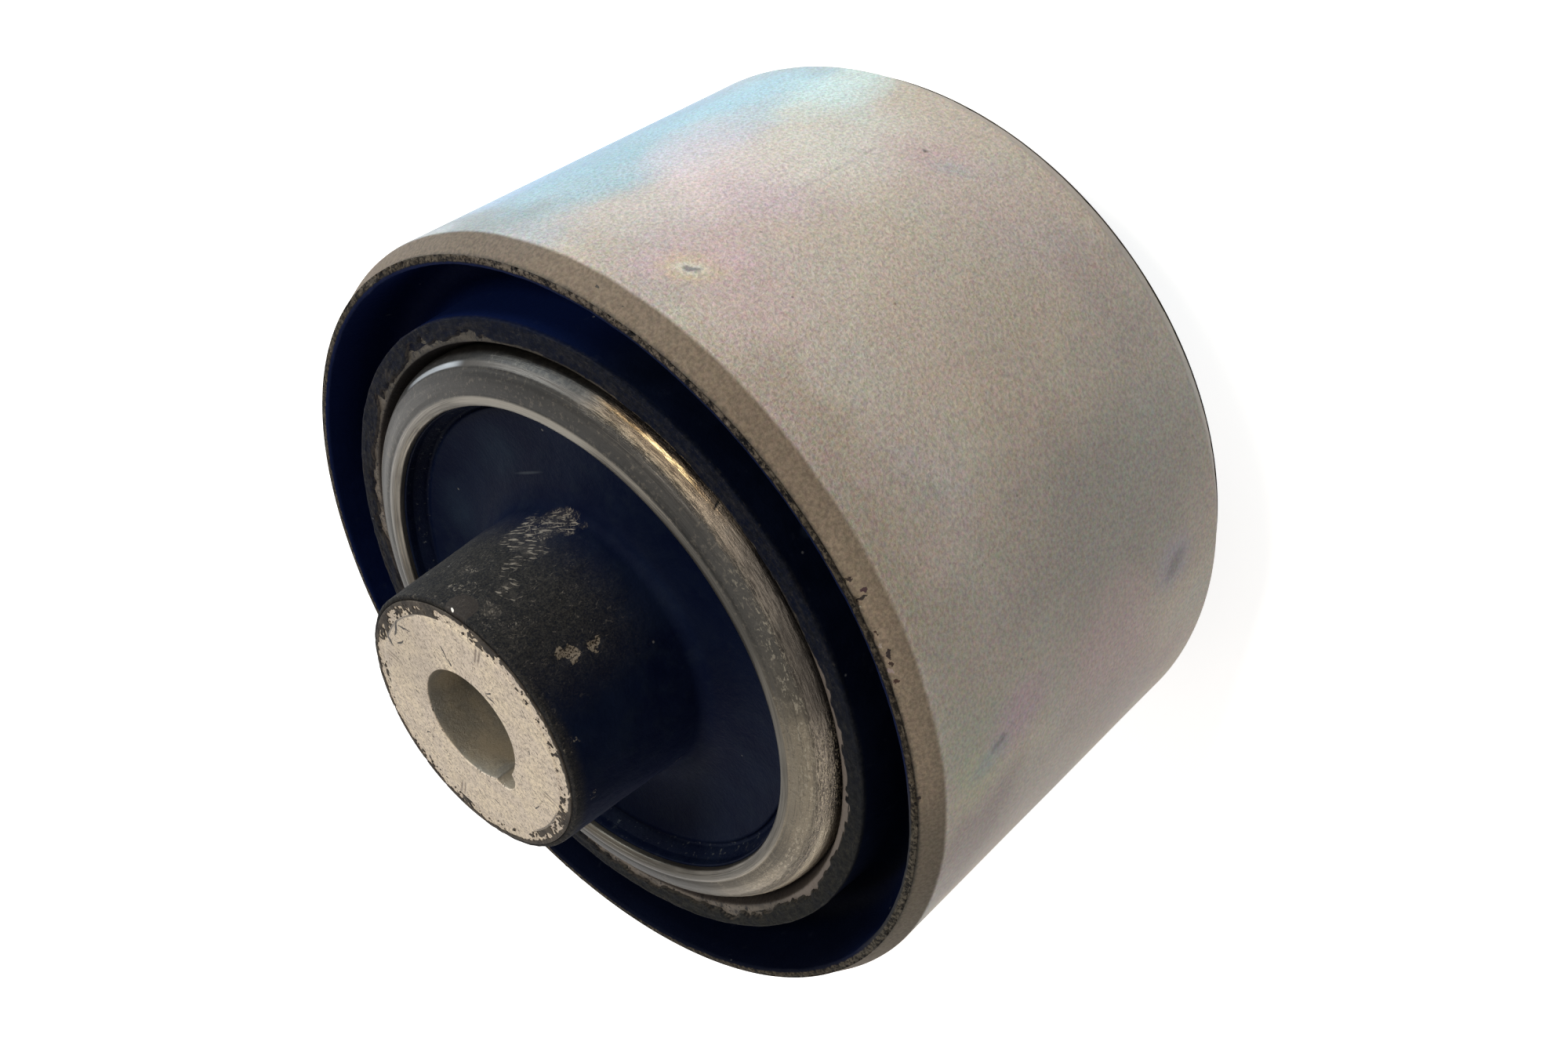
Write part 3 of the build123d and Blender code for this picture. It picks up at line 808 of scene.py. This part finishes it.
    # Dust in the ring groove, and a few specks and hair lines on the membrane.
    gutter = p.times(p.band(p.radius, 25.5, 25.8, 26.5, 26.9), p.span(p.noise(1.5, 3, 0.7), 0.6, 0.68))
    specks = p.span(p.cells(0.24, at=p.moved(5, 2, 9)), 0.045, 0.022)
    colour = p.lay(colour, [
        (0.6, (0.1, 0.11, 0.12), gutter),
        (0.55, (0.2, 0.2, 0.2), specks),
        (0.3, (0.1, 0.12, 0.15), p.spot(164.7, 18.2, 24.2, (0.22, 3.0, 2.0))),
    ])
    roughness = p.plus(p.blend(skin, 0.42, 0.58), p.times(p.plus(middle, fine), 0.1))
    roughness = p.blend(p.times(clear, 0.8), roughness, 0.25)
    return p.finish(colour, roughness, [(middle, 0.1), (fine, 0.06), (grit, 0.02), (scuffs, -0.03)])


def aluminium_material():
    p = Paint("aluminium", specular=0.5)
    cloud = p.noise(0.3, 4, 0.6)
    grain = p.noise(2.4, 4, 0.65)
    fine = p.noise(6.0, 2, 0.6)
    face = p.span(p.height, 41.6, 41.69)
    warm = p.mix(p.span(cloud, 0.35, 0.65), (0.6, 0.52, 0.44), (0.7, 0.605, 0.47))
    warm = p.lay(warm, [
        (0.5, (0.36, 0.295, 0.235), p.span(grain, 0.54, 0.42)),
        (0.45, (0.74, 0.65, 0.52), p.span(fine, 0.52, 0.64)),
        (0.45, (0.3, 0.25, 0.2), p.span(p.noise(1.1, 4, 0.7), 0.56, 0.66)),
        (0.3, (0.33, 0.285, 0.235), p.facing(-160, 40, 12)),
    ])
    # The face is covered in short hair-thin dark marks that lie all ways.
    fibres = p.most(*[
        p.span(p.noise(1.0, 1, 0.5, twist=0.55, at=p.mapped(
            p.P, "POINT", (turn, scale, 0), (0, 0, turn), (2.1 * scale, 7.5 * scale, 1.0))), 0.69, 0.72)
        for turn, scale in ((8, 1.0), (38, 0.9), (70, 1.1), (97, 0.95), (126, 1.05), (158, 1.15))
    ])
    # Double score lines lie beside the seal circle, and single scratches elsewhere.
    score = p.most(*[
        p.spot(angle + offset, 11.0, SLEEVE_TOP, (1.7, 0.2, 1.0))
        for angle in (32.6, 122.4, 214.3, 302.1) for offset in (-1.25, 1.25)
    ])
    near = p.warped(0.9, 0.7)
    scratch = p.most(*[
        p.spot(angle, radius, SLEEVE_TOP, (length, width, 1.0), spin=spin, at=near)
        for angle, radius, spin, length, width in (
            (152.8, 8.2, 165, 1.1, 0.14), (149.5, 7.4, 150, 0.6, 0.13), (103.3, 7.0, 20, 0.8, 0.09),
            (107, 7.5, 75, 0.5, 0.09), (178.2, 5.6, 170, 0.7, 0.10), (191, 11.8, 120, 1.4, 0.22),
            (203, 12.1, 165, 1.3, 0.18), (184, 11.2, 60, 1.1, 0.16), (197, 10.6, 95, 0.9, 0.14),
            (-28, 9.4, 35, 0.5, 0.09), (15, 10.2, 100, 0.6, 0.09), (-95, 9.2, 80, 0.5, 0.08),
            (60, 8.8, 140, 0.4, 0.09), (-130, 7.9, 15, 0.5, 0.09),
        )
    ])
    warm = p.lay(warm, [
        (0.9, (0.085, 0.066, 0.052), fibres),
        (0.6, (0.09, 0.07, 0.06), p.span(p.cells(1.6), 0.16, 0.08)),
        (0.8, (0.19, 0.155, 0.13), score),
        (1, (0.03, 0.024, 0.021), p.span(scratch, 0.04, 0.2)),
    ])
    # A fine dark line, a painted shadow of the step, marks the seal circle in two places.
    seal_shadow = p.band(p.radius, 12.02, 12.12, 12.22, 12.32)
    arc = p.most(p.spot(185, 12.2, SLEEVE_TOP, (5, 6, 5)), p.spot(12, 12.2, SLEEVE_TOP, (5, 4.5, 5)))
    warm = p.lay(warm, [(0.75, (0.045, 0.038, 0.032), seal_shadow, p.span(arc, 0.2, 0.6))])
    bore = p.mix(p.span(cloud, 0.3, 0.7), (0.27, 0.26, 0.232), (0.44, 0.385, 0.295))
    # The index groove is painted lighter, as painted light against its shadow.
    key_groove_light = p.times(p.span(p.radius, 6.3, 6.45), p.span(p.height, 30, 38))
    ding = p.most(p.spot(60.2, 3.84, SLEEVE_TOP, (0.6, 0.4, 1)), p.spot(55, 6.3, 37.2, (0.8, 0.35, 0.5)))
    bore = p.lay(bore, [
        (0.2, (0.5, 0.46, 0.37), p.span(grain, 0.5, 0.7)),
        (0.4, (0.2, 0.18, 0.14), p.span(p.noise(0.9, 4, 0.7), 0.55, 0.7)),
        (0.75, (0.44, 0.385, 0.3), key_groove_light),
        (0.8, (0.03, 0.03, 0.04), ding),
    ])
    colour = p.mix(face, bore, warm)
    heights = [(grain, 0.05), (fine, 0.02), (fibres, -0.015), (score, -0.05)]
    return p.finish(colour, p.blend(face, 0.4, 0.52), heights, metallic=p.blend(face, 0.6, 0.12))


def flake_material():
    p = Paint("torn_film", specular=0.1)
    cloud = p.noise(0.8, 4, 0.6)
    fine = p.noise(3.0, 4, 0.6)
    colour = p.mix(p.span(cloud, 0.35, 0.65), (0.024, 0.02, 0.017), (0.066, 0.056, 0.046))
    colour = p.lay(colour, [(0.5, (0.19, 0.165, 0.135), p.span(fine, 0.58, 0.7))])
    return p.finish(colour, p.plus(0.45, p.times(fine, 0.2)), [(fine, 0.03)])


def make_outer_sleeve():
    half = [
        (OUTER_INSIDE, 0, 0), (OUTER_INSIDE, RIM, 0.12), (CHAMFER_R, RIM, 0.12),
        (OUTER_R, CHAMFER_Z, 0.7), (OUTER_R, 0, 0),
    ]

    def pitch(r, z):
        if r < OUTER_INSIDE + 0.05:
            return 8.0 if z < RIM - 0.5 else 0.05
        if z > 25.0:
            return 0.05
        return 0.3 if z > 22.5 else 1.9

    def sculpt(r, z, a):
        top, side = np.abs(z), np.sign(z)
        # The sawn edge is a little uneven, with a few nicks beside the rubber.
        on_edge = smooth_step((top - 24.6) / 1.2) * (r > 41.3)
        wander = 0.05 * rough(a, 60, 3) + 0.035 * rough(a, 260, 9)
        nicks = np.zeros_like(a)
        for end, angle, width, depth in (
            (1, 85.5, 0.5, 0.40), (1, 82.6, 1.1, 0.55), (1, 78.2, 0.7, 0.40), (1, 76.3, 0.5, 0.35),
            (1, 74.9, 0.8, 0.42), (1, 73.7, 0.5, 0.30), (1, 71.8, 0.5, 0.30), (1, 54.8, 0.6, 0.35),
            (1, 118, 0.5, 0.22), (1, 131, 0.4, 0.2),
            (-1, 12, 0.6, 0.3), (-1, 140, 0.8, 0.35), (-1, 215, 0.6, 0.3), (-1, 290, 1.0, 0.4),
        ):
            nicks = np.maximum(nicks, depth * bump_at(a, angle, width) * (side == end))
        r = r - on_edge * (0.06 + wander * 0.6 + nicks * 0.75)
        sunk = 0.03 + np.abs(wander) * 0.5 + nicks * 0.6
        z = z - side * smooth_step((top - 25.2) / 0.7) * (r > 41.2) * sunk
        # The wall is very slightly out of true, and dimpled at the contact marks.
        body = smooth_step((24.0 - top) / 2.0) * (r > 42)
        dimple = np.zeros_like(a)
        for angle, place in ((126.1, 17.1), (53.9, 16.0), (121.1, -14.7), (56.5, -15.4)):
            dimple += bump_at(a, angle, 5.0) * smooth_step(1 - np.abs(z - place) / 3.5)
        r = r - body * (0.02 + 0.02 * patchy(a, z, 24, 11.0, 5) + 0.05 * dimple)
        return r, z

    return lathe("outer_sleeve_skin", both_ends(half, 0.22, pitch), 720, sculpt)


def make_outer_rubber():
    middle, bend = (GROOVE_OUT + GROOVE_IN) / 2, (GROOVE_OUT - GROOVE_IN) / 2
    bend_z = GROOVE_FLOOR + bend
    half = [
        (OUTER_INSIDE, 12, 0), (OUTER_INSIDE, RIM + FILM_GAP, 0), (FILM_OUT, RIM + FILM_GAP, 0),
        (FILM_OUT, RIM + 0.10, 0.03), (40.70, RIM + 0.12, 0.25),
        (GROOVE_OUT, bend_z, 0), *arc_points((middle, bend_z), bend, 0, -180, 20)[1:-1],
        (GROOVE_IN, bend_z, 0),
        (35.35, MIDDLE_TOP + 0.24, 0.25), (FILM_IN, MIDDLE_TOP + 0.22, 0.04),
        (FILM_IN, MIDDLE_TOP - FILM_GAP, 0), (MIDDLE_R, MIDDLE_TOP - FILM_GAP, 0), (MIDDLE_R, 12, 0),
    ]

    def pitch(r, z):
        under_film = abs(z - RIM - FILM_GAP) < 0.01 or abs(z - MIDDLE_TOP + FILM_GAP) < 0.01
        if z < RIM - 0.5 and (r > OUTER_INSIDE - 0.05 or abs(r - MIDDLE_R) < 0.05):
            return 7.0
        if z < 19.5:
            return 0.8
        if z < 24.5:
            return 1.2
        if under_film:
            return 0.5
        return 0.3 if z < 25.6 and r > 35.2 else 0.1

    section = both_ends(half, 0.16, pitch)
    segments = 660
    torn = np.zeros((len(section), segments))

    def sculpt(r, z, a):
        top, side = np.abs(z), np.sign(z)
        # The two ends are torn differently.
        b = a + np.where(z > 0, 0.0, 2.1)
        # Film over the rim: its outer edge is torn back to the steel in places.
        rim = (top > 25.95) & (r > 40.9)
        edge = 41.52 + 0.16 * rough(b, 130, 21) + 0.10 * rough(b, 420, 31)
        here = smooth_step((edge - r) / 0.07)
        lumps = 0.05 * patchy(b, r, 220, 0.22, 41)
        film_z = np.where(top > 26.05, RIM - 0.05 + here * (0.16 + lumps), top)
        z = np.where(rim, side * film_z, z)
        # Film over the middle ring: a ragged inner edge with large bare patches.
        inner = 33.10 + 0.16 * rough(b, 90, 51) + 0.09 * rough(b, 400, 61)
        for angle, width, reach in (
            (-140, 14, 0.9), (-129, 5, 1.2), (-104, 16, 1.45), (-86, 6, 0.9), (-66, 14, 1.0),
            (-38, 16, 1.1), (-8, 18, 1.3), (18, 14, 0.7), (44, 18, 0.50), (66, 16, 0.40),
            (160, 8, 1.0), (176, 9, 1.45), (-164, 9, 1.2),
        ):
            inner = inner + reach * bump_at(b, angle, width) * (0.70 + 0.6 * ripple(b, 300, 71))
        inner = np.minimum(inner, 35.0)
        on_face = (top > 25.7) & (r < 35.30)
        there = smooth_step((r - inner) / 0.08)
        fringe = np.where(on_face, smooth_step(1 - np.abs(r - inner - 0.06) / 0.16), 0)
        torn[...] = fringe * (0.5 + 0.5 * ripple(b, 90, 77))
        film_z = MIDDLE_TOP - 0.07 + there * (0.30 + 0.05 * patchy(b, r, 240, 0.25, 81))
        z = np.where(on_face, side * film_z, z)
        # Moulded walls are slightly uneven, with rounded lips.
        wall = smooth_step((25.6 - top) / 3.0) * (top < 25.6)
        uneven = 0.06 * patchy(b, z, 26, 5.0, 91) * wall
        r = (
            r + np.where((r > 38) & (r < 41.0), uneven, 0)
            + np.where((r <= 38) & (r > 35.1), -uneven, 0)
        )
        lip = ((top > 25.5) & (r > 35.2) & (r < 41.0)).astype(float)
        r = r + lip * np.where(r > 38, 0.05, -0.05) * rough(b, 110, 95)
        z = z + side * lip * 0.03 * rough(b, 160, 98)
        return r, z

    piece = lathe("outer_rubber_ring", section, segments, sculpt)
    layer = piece.data.attributes.new("torn", "FLOAT", "POINT")
    layer.data.foreach_set("value", torn.astype(np.float32).ravel())
    return piece


def make_middle_ring():
    half = [
        (SHELL_R, 10, 0), (SHELL_R, MOUTH_Z, 0.5), (MOUTH_R, MIDDLE_TOP, 0.12),
        (MIDDLE_R, MIDDLE_TOP, 0), (MIDDLE_R, 10, 0),
    ]

    def pitch(r, z):
        hidden = r > MIDDLE_R - 0.05 and z < MIDDLE_TOP - 0.5
        return 8.0 if hidden or z < MOUTH_Z - 1.0 else 0.05

    def sculpt(r, z, a):
        face = smooth_step((np.abs(z) - 25.3) / 0.3)
        z = z - np.sign(z) * face * (0.015 + 0.02 * patchy(a, r, 120, 0.8, 13))
        return r, z

    return lathe("middle_ring_body", both_ends(half, 0.25, pitch), 600, sculpt)


def make_shell():
    roll = (ROLL_CENTRE_R, ROLL_CENTRE_Z)
    inside_r = ROLL_R - SHELL_WALL
    # The bead is an arc through the two ends of the crown and its crest.
    bead_half = (ROLL_CENTRE_R - LIP_R) / 2
    sag = BEAD_Z - SHELL_TOP
    bead_radius = (bead_half ** 2 + sag ** 2) / (2 * sag)
    spread = math.degrees(math.asin(bead_half / bead_radius))
    half = [
        (SHELL_R, 0, 0), (SHELL_R, ROLL_CENTRE_Z, 0),
        *arc_points(roll, ROLL_R, 0, 86, 34)[1:],
        *arc_points((BEAD_R, BEAD_Z - bead_radius), bead_radius, 90 - spread, 90 + spread * 0.45, 8),
        *arc_points((LIP_R + LIP_EDGE, SHELL_TOP - 0.42), LIP_EDGE, 100, 180, 6),
        (LIP_R, LIP_UNDER, 0), (ROLL_CENTRE_R, LIP_UNDER, 0),
        *arc_points(roll, inside_r, 90, 0, 10)[1:],
        (SHELL_INSIDE, 0, 0),
    ]

    def pitch(r, z):
        if z < 22.5:
            return 8.0
        inner_arc = math.hypot(r - ROLL_CENTRE_R, z - ROLL_CENTRE_Z) < inside_r + 0.1
        if inner_arc or (z < LIP_UNDER + 0.05 and r < ROLL_CENTRE_R):
            return 0.6
        return 0.4 if z < ROLL_CENTRE_Z else 0.05

    def sculpt(r, z, a):
        top, side = np.abs(z), np.sign(z)
        outer = (top > 23.5) & (r > 27.2)
        # Shallow rings left by the rolling tool, and a low ridge half way round.
        slope = np.arctan2(top - ROLL_CENTRE_Z, np.maximum(r - ROLL_CENTRE_R, 1e-6))
        along = slope * ROLL_R
        ring = 0.022 * patchy(a, along, 14, 0.55, 7) + 0.012 * patchy(a, along, 60, 0.22, 8)
        ridge = 0.05 * np.exp(-((slope - math.radians(47)) / 0.07) ** 2)
        amount = np.where(outer & (r > ROLL_CENTRE_R), ring + ridge, 0.35 * ring * outer)
        r = r + amount * np.cos(slope)
        z = z + side * amount * np.sin(slope)
        # One dark nick on the shoulder.
        across = smooth_step(1 - np.abs(slope - math.radians(22)) / 0.20)
        r = r - 0.16 * bump_at(a, 102.5, 0.5) * (z > 0) * across * (r > 30.5)
        # The lip wanders slightly.
        lip = smooth_step((28.0 - r) / 1.0) * (top > 26.0)
        r = r + lip * 0.04 * rough(a, 40, 17)
        return r, z

    return lathe("cartridge_shell_rolled", both_ends(half, 0.17, pitch), 600, sculpt)


def make_inner_rubber():
    # The dish is an arc from the skin's foot to the ring groove. The fillet at
    # the foot takes the place of its first steps.
    root = arc_points((16.40, 26.35), 1.30, 180, 262, 10)
    dish = arc_through((15.10, 25.50), (20.35, 24.025), (25.60, 24.75), 36)[7:]
    ring_groove = arc_points((25.90, 24.75), 0.30, 180, 360, 8)[1:]
    half = [
        (SLEEVE_R, 8, 0), (SLEEVE_R, SKIN_TOP, 0), (SKIN_R, SKIN_TOP, 0.2),
        *root, *dish, *ring_groove,
        (26.75, RIM, 0.2), (26.75, RIM + 0.95, 0.08), (LIP_R, RIM + 0.98, 0),
        (LIP_R, LIP_UNDER, 0), (ROLL_CENTRE_R, LIP_UNDER, 0),
        *arc_points((ROLL_CENTRE_R, ROLL_CENTRE_Z), ROLL_R - SHELL_WALL, 90, 0, 8)[1:],
        (SHELL_INSIDE, 8, 0),
    ]

    def pitch(r, z):
        if r < SLEEVE_R + 0.05 and z < 41.0:
            return 20.0
        if r > ROLL_CENTRE_R:
            return 8.0 if z < ROLL_CENTRE_Z else 0.7
        return 0.45 if 17.5 < r < 25.0 else 0.03

    def sculpt(r, z, a):
        top, side = np.abs(z), np.sign(z)
        b = a + np.where(z > 0, 0.0, 1.3)
        # Uneven moulded skin up the sleeve.
        skin = (r > 14.0) & (r < 15.4) & (top > 26.5)
        lumps = 0.05 * patchy(b, z, 40, 2.6, 5) + 0.03 * patchy(b, z, 130, 0.9, 6)
        r = r + np.where(skin, lumps - 0.03, 0)
        for angle, place, width, tall, depth in (
            (97.2, 36.6, 3.6, 1.2, 0.22), (95.1, 33.7, 2.0, 0.7, 0.18), (146, 30.5, 9.0, 3.5, 0.10),
        ):
            hole = bump_at(a, angle, width) * smooth_step(1.4 - np.abs(z - place) / tall) * (z > 0)
            r = r - np.where(skin, hole * depth, 0)
        # The end of the skin is trimmed unevenly.
        tip = (top > 41.3) & (r > 13.9)
        z = z - side * np.where(tip, 0.06 + 0.07 * np.abs(rough(b, 90, 15)), 0)
        # Slight swells on the membrane and round the ring groove.
        plate = smooth_step((r - 16.0) / 2.0) * (r < 26.5) * (top > 20) * (top < 26.2)
        swell = 0.05 * patchy(b, r, 18, 3.5, 25) + 0.02 * patchy(b, r, 90, 1.0, 26)
        return r, z + side * plate * swell

    return lathe("inner_rubber_body", both_ends(half, 0.60, pitch), 520, sculpt)


def bore_reach(a):
    """The bore's radius at an angle, with the index groove at +X."""
    inside = KEY_R ** 2 - (KEY_CENTRE * np.sin(a)) ** 2
    key = KEY_CENTRE * np.cos(a) + np.sqrt(np.maximum(inside, 0))
    return np.where((inside > 0) & (np.cos(a) > 0), np.maximum(key, BORE_R), BORE_R)


def make_inner_sleeve():
    shoulder = SLEEVE_TOP - SEAL_DEPTH
    half = [
        (BORE_R, 0, 0), (BORE_R, SLEEVE_TOP, 0.10), (SEAL_R, SLEEVE_TOP, 0.03),
        (SEAL_R + 0.05, shoulder, 0.03), (SLEEVE_R, shoulder, 0.25), (SLEEVE_R, 0, 0),
    ]

    def pitch(r, z):
        if r > SLEEVE_R - 0.05 and z < 41.0:
            return 20.0
        return 4.0 if z < 41.0 else 0.02

    def sculpt(r, z, a):
        top, side = np.abs(z), np.sign(z)
        r = r + (bore_reach(a) - BORE_R) * smooth_step((9.4 - r) / 3.2)
        face = (top > 41.5) & (r > BORE_R + 0.3)
        z = z - side * np.where(face, 0.012 + 0.012 * patchy(a, r, 260, 0.7, 3), 0)
        # Four short double score lines near the seal circle.
        for place in (angle + offset for angle in (32, 122, 215, 302) for offset in (-1.1, 1.1)):
            cut = bump_at(a, place, 0.8) * smooth_step(1.3 - np.abs(r - 11.05) / 1.3)
            z = z - side * np.where(face & (r < 12.2), 0.05 * cut, 0)
        return r, z

    return lathe("inner_sleeve_tube", both_ends(half, 0.45, pitch), 720, sculpt)


def make_flakes(name, side, seed):
    """Torn scraps of rubber film on the sleeve's end, outside the seal circle."""
    inner, outer = 12.22, 13.72
    section = np.array(
        [(r, SLEEVE_TOP) for r in np.linspace(inner, outer, 22)]
        + [(outer, SLEEVE_TOP - 0.3), (inner, SLEEVE_TOP - 0.3)]
    )

    def sculpt(r, z, a):
        amount = (
            0.9 * patchy(a, r, 110, 0.55, seed) + 1.0 * patchy(a, r, 330, 0.24, seed + 1)
            + 0.6 * rough(a, 40, seed + 2)
        )
        level = np.full_like(r, -0.70)
        for angle, width, more in (
            (156, 17, 2.0), (177, 18, 1.25), (197, 16, 1.25), (122, 16, 1.0),
            (9, 22, 1.55), (36, 18, 0.55), (-40, 30, 0.35), (232, 16, 0.35),
        ):
            level += more * bump_at(a, angle, width)
        level += 1.5 * smooth_step((r - 13.25) / 0.25)
        here = smooth_step((amount + level) / 0.35)
        height = SLEEVE_TOP - 0.12 + 0.11 * here - 0.02 * smooth_step((12.5 - r) / 0.3)
        z = np.where(z > SLEEVE_TOP - 0.1, height, z)
        return r, side * z

    piece = lathe(name, section, 1080, sculpt)
    if side < 0:
        piece.data.flip_normals()
    return piece


seat(make_outer_sleeve(), zinc_material(), "outer_sleeve")
seat(make_outer_rubber(), outer_rubber_material(), "outer_rubber")
seat(make_middle_ring(), middle_material(), "middle_ring")
seat(make_shell(), shell_material(), "cartridge_shell")
seat(make_inner_rubber(), inner_rubber_material(), "inner_rubber")
seat(make_inner_sleeve(), aluminium_material(), "inner_sleeve")
torn_film = flake_material()
seat(make_flakes("end_film_upper", 1, 101), torn_film)
seat(make_flakes("end_film_lower", -1, 131), torn_film)


def shown(tree):
    """One for rays that show the background: camera, glossy and transmission."""
    path = add_node(tree, "ShaderNodeLightPath")
    seen = path.outputs["Is Camera Ray"]
    for kind in ("Is Glossy Ray", "Is Transmission Ray"):
        values = {0: seen, 1: path.outputs[kind]}
        seen = add_node(tree, "ShaderNodeMath", values, operation="MAXIMUM").outputs[0]
    return seen


def two_tones(tree, seen, shade, white):
    """The white where a ray shows the background, else the shade."""
    values = {"Factor": seen, "A": (*shade, 1), "B": (*white, 1)}
    return add_node(tree, "ShaderNodeMix", values, data_type="RGBA").outputs["Result"]


def make_floor():
    """White to the camera, darker to the rays that light the bush."""
    bpy.ops.mesh.primitive_circle_add(
        vertices=96, radius=4.0, fill_type="NGON", location=(0, 0, -SLEEVE_TOP * MM)
    )
    floor = bpy.context.object
    floor.name = "floor"
    material = bpy.data.materials.new("floor_white")
    material.use_nodes = True
    tree = material.node_tree
    tree.nodes.clear()
    seen = shown(tree)
    tint = two_tones(tree, seen, (0.30, 0.292, 0.285), (0.95, 0.95, 0.95))
    # Near the bush the lamps add to the white; far away it shines by itself.
    place = add_node(tree, "ShaderNodeTexCoord").outputs["Object"]
    reach = add_node(tree, "ShaderNodeVectorMath", {0: place}, operation="LENGTH")
    spread = add_node(tree, "ShaderNodeMapRange", {
        "Value": reach.outputs["Value"],
        "From Min": 0.15, "From Max": 0.60, "To Min": 0.72, "To Max": 1.0,
    })
    values = {0: seen, 1: spread.outputs["Result"]}
    level = add_node(tree, "ShaderNodeMath", values, operation="MULTIPLY")
    matte = add_node(tree, "ShaderNodeBsdfDiffuse", {"Color": tint})
    glow = add_node(tree, "ShaderNodeEmission", {"Strength": level.outputs[0]})
    both = add_node(tree, "ShaderNodeAddShader", {0: matte.outputs[0], 1: glow.outputs[0]})
    add_node(tree, "ShaderNodeOutputMaterial", {"Surface": both.outputs[0]})
    floor.data.materials.append(material)


def light(name, azimuth, elevation, distance, size, power, colour):
    """An area light at an azimuth and elevation in degrees, facing the origin."""
    lamp = bpy.data.lights.new(name, "AREA")
    lamp.shape = "RECTANGLE"
    lamp.size, lamp.size_y = size
    lamp.energy = power
    lamp.color = colour
    piece = bpy.data.objects.new(name, lamp)
    a, e = math.radians(azimuth), math.radians(elevation)
    way = Vector((math.cos(e) * math.cos(a), math.cos(e) * math.sin(a), math.sin(e)))
    piece.location = way * distance
    piece.rotation_euler = way.to_track_quat("Z", "Y").to_euler()
    bpy.context.collection.objects.link(piece)


make_floor()
light("key", 184, 10, 0.80, (0.50, 0.26), 4.4, (0.86, 0.95, 1.0))
light("front", 137, 51, 0.70, (0.16, 0.16), 3.1, (1.0, 0.91, 0.78))
light("side", 4, 26, 0.80, (0.40, 0.40), 1.1, (1.0, 0.92, 0.84))
light("far_side", -46, 13, 0.85, (0.30, 0.36), 0.7, (1.0, 0.90, 0.76))
light("back", -108, 18, 0.85, (0.30, 0.20), 0.30, (1.0, 0.96, 0.92))

world = bpy.data.worlds.new("studio")
bpy.context.scene.world = world
world.use_nodes = True
sky = world.node_tree
tones = two_tones(sky, shown(sky), (0.20, 0.196, 0.192), (1, 1, 1))
join(sky, tones, sky.nodes["Background"].inputs["Color"])

# The camera's axes and place were fitted to the photo.
right = Vector((0.52011, 0.55329, -0.65066))
up = Vector((-0.84713, 0.23703, -0.4756))
ahead = Vector((0.10892, -0.79855, -0.59199))
place = Vector((-18.853, 153.545, 111.085)) * MM
lens = bpy.data.cameras.new("camera")
lens.sensor_width = 36
lens.lens = 39.703
lens.clip_start = 0.005
lens.clip_end = 20
camera = bpy.data.objects.new("camera", lens)
camera.matrix_world = Matrix((
    (right.x, up.x, -ahead.x, place.x),
    (right.y, up.y, -ahead.y, place.y),
    (right.z, up.z, -ahead.z, place.z),
    (0, 0, 0, 1),
))
bpy.context.collection.objects.link(camera)
bpy.context.scene.camera = camera
bpy.context.scene.view_settings.view_transform = "Standard"


def corners(box):
    return [[float(value) for value in corner] for corner in box]
